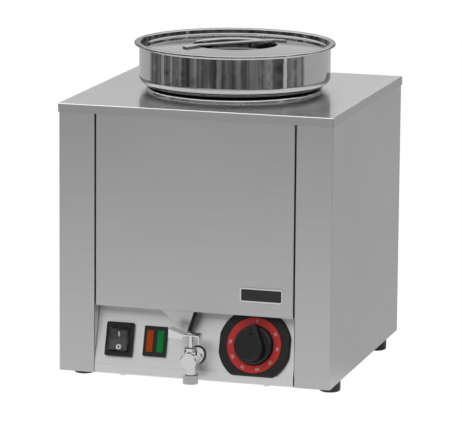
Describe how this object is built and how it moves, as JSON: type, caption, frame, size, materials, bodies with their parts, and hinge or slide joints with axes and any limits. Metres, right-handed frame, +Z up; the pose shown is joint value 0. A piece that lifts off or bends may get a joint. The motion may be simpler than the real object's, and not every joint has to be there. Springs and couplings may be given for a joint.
{
  "type": "bain marie",
  "caption": "Countertop food warmer: square steel casing, lidded round pot hanging in a heated water well, lever drain tap and a sloping control panel.",
  "frame": {"origin": "middle of the overall footprint, tap and cable gland included, on the surface it stands on", "axes": "+Z up, +X to the right seen from the front, +Y towards the back"},
  "size_m": [0.2918, 0.335, 0.3424],
  "materials": {
    "casing_steel": "fine brushed stainless steel, satin",
    "panel_steel": "fine brushed stainless steel, light satin",
    "inner_steel": "plain mill-finish steel sheet",
    "well_steel": "deep-drawn stainless steel, polished rim",
    "pot_steel": "polished stainless steel with fine marks",
    "lid_steel": "satin spun stainless steel",
    "handle_steel": "satin steel strap",
    "foot_rubber": "black moulded rubber",
    "switch_black": "black moulded plastic, fine texture",
    "rocker_black": "black glossy plastic",
    "clear_cover": "clear flexible plastic",
    "orange_lens": "orange pilot lens",
    "green_lens": "green pilot lens",
    "bezel_black": "black satin plastic",
    "dial_red": "red printed ring with plain numbers",
    "knob_black": "black satin phenolic",
    "tap_chrome": "bright chrome plate",
    "lever_chrome": "chrome-plated stamped steel",
    "gasket_rubber": "black rubber",
    "badge_metal": "bright anodised aluminium",
    "badge_black": "bare black field",
    "zinc_steel": "zinc-plated steel",
    "element_sheath": "heat-darkened steel sheath",
    "heater_aluminium": "plain aluminium sheet",
    "insulation": "mineral wool blanket",
    "copper_tube": "bare copper",
    "thermostat_case": "pale moulded casing",
    "terminal_plastic": "pale plastic",
    "hose_silicone": "pale silicone hose",
    "gland_plastic": "black nylon",
    "brass_stud": "brass"
  },
  "bodies": {
    "casing": {"top_cover": "casing_steel", "left_side_panel": "casing_steel", "right_side_panel": "casing_steel", "front_panel": "casing_steel", "tap_guard": "casing_steel", "guard_strip": "gasket_rubber", "control_panel": "panel_steel", "base_plate": "inner_steel", "rear_panel": "inner_steel", "foot_front_left": "foot_rubber", "foot_front_right": "foot_rubber", "foot_rear_left": "foot_rubber", "foot_rear_right": "foot_rubber", "foot_studs": "zinc_steel", "rear_screws": "zinc_steel", "bottom_screws": "zinc_steel", "well": "well_steel", "well_clamp_ring": "inner_steel", "insulation_blanket": "insulation", "heating_element": "element_sheath", "heater_plate": "heater_aluminium", "plate_studs": "zinc_steel", "safety_thermostat": "thermostat_case", "sensor_bulb": "copper_tube", "bulb_clip": "inner_steel", "thermostat_body": "thermostat_case", "thermostat_screws": "zinc_steel", "capillary": "copper_tube", "thermostat_bezel": "bezel_black", "dial_ring": "dial_red", "switch_housing": "switch_black", "switch_guard": "switch_black", "switch_cover": "clear_cover", "lamp_housing": "switch_black", "orange_lens": "orange_lens", "green_lens": "green_lens", "badge_plate": "badge_metal", "badge_inlay": "badge_black", "tap_gasket": "gasket_rubber", "tap_body": "tap_chrome", "tap_gland_nut": "tap_chrome", "tap_lock_nut": "brass_stud", "drain_hose": "hose_silicone", "hose_clamps": "zinc_steel", "cable_gland": "gland_plastic", "gland_nut": "gland_plastic", "earth_stud": "brass_stud", "terminal_block": "terminal_plastic"},
    "pot": {"pot": "pot_steel"},
    "lid": {"lid": "lid_steel", "lid_handle": "handle_steel"},
    "knob": {"knob": "knob_black", "spindle": "zinc_steel"},
    "rocker": {"switch_rocker": "rocker_black"},
    "tap_lever": {"tap_plug": "tap_chrome", "tap_lever": "lever_chrome", "lever_nut": "lever_chrome"}
  },
  "joints": [
    {"name": "pot_lift", "type": "slide", "parent": "casing", "child": "pot", "axis": [0, 0, 1], "range_m": [0, 0.2]},
    {"name": "lid_lift", "type": "slide", "parent": "pot", "child": "lid", "axis": [0, 0, 1], "range_m": [0, 0.06]},
    {"name": "knob_turn", "type": "hinge", "parent": "casing", "child": "knob", "pos_m": [0.0635, -0.1286, 0.05065], "axis": [0, 0.955, -0.2966], "range_deg": [0, 285]},
    {"name": "rocker_tilt", "type": "hinge", "parent": "casing", "child": "rocker", "pos_m": [-0.08105, -0.12874, 0.04682], "axis": [-1, 0, 0], "range_deg": [0, 16]},
    {"name": "lever_turn", "type": "hinge", "parent": "casing", "child": "tap_lever", "pos_m": [0.00352, -0.1575, 0.061], "axis": [0, 0, 1], "range_deg": [0, 90]}
  ]
}
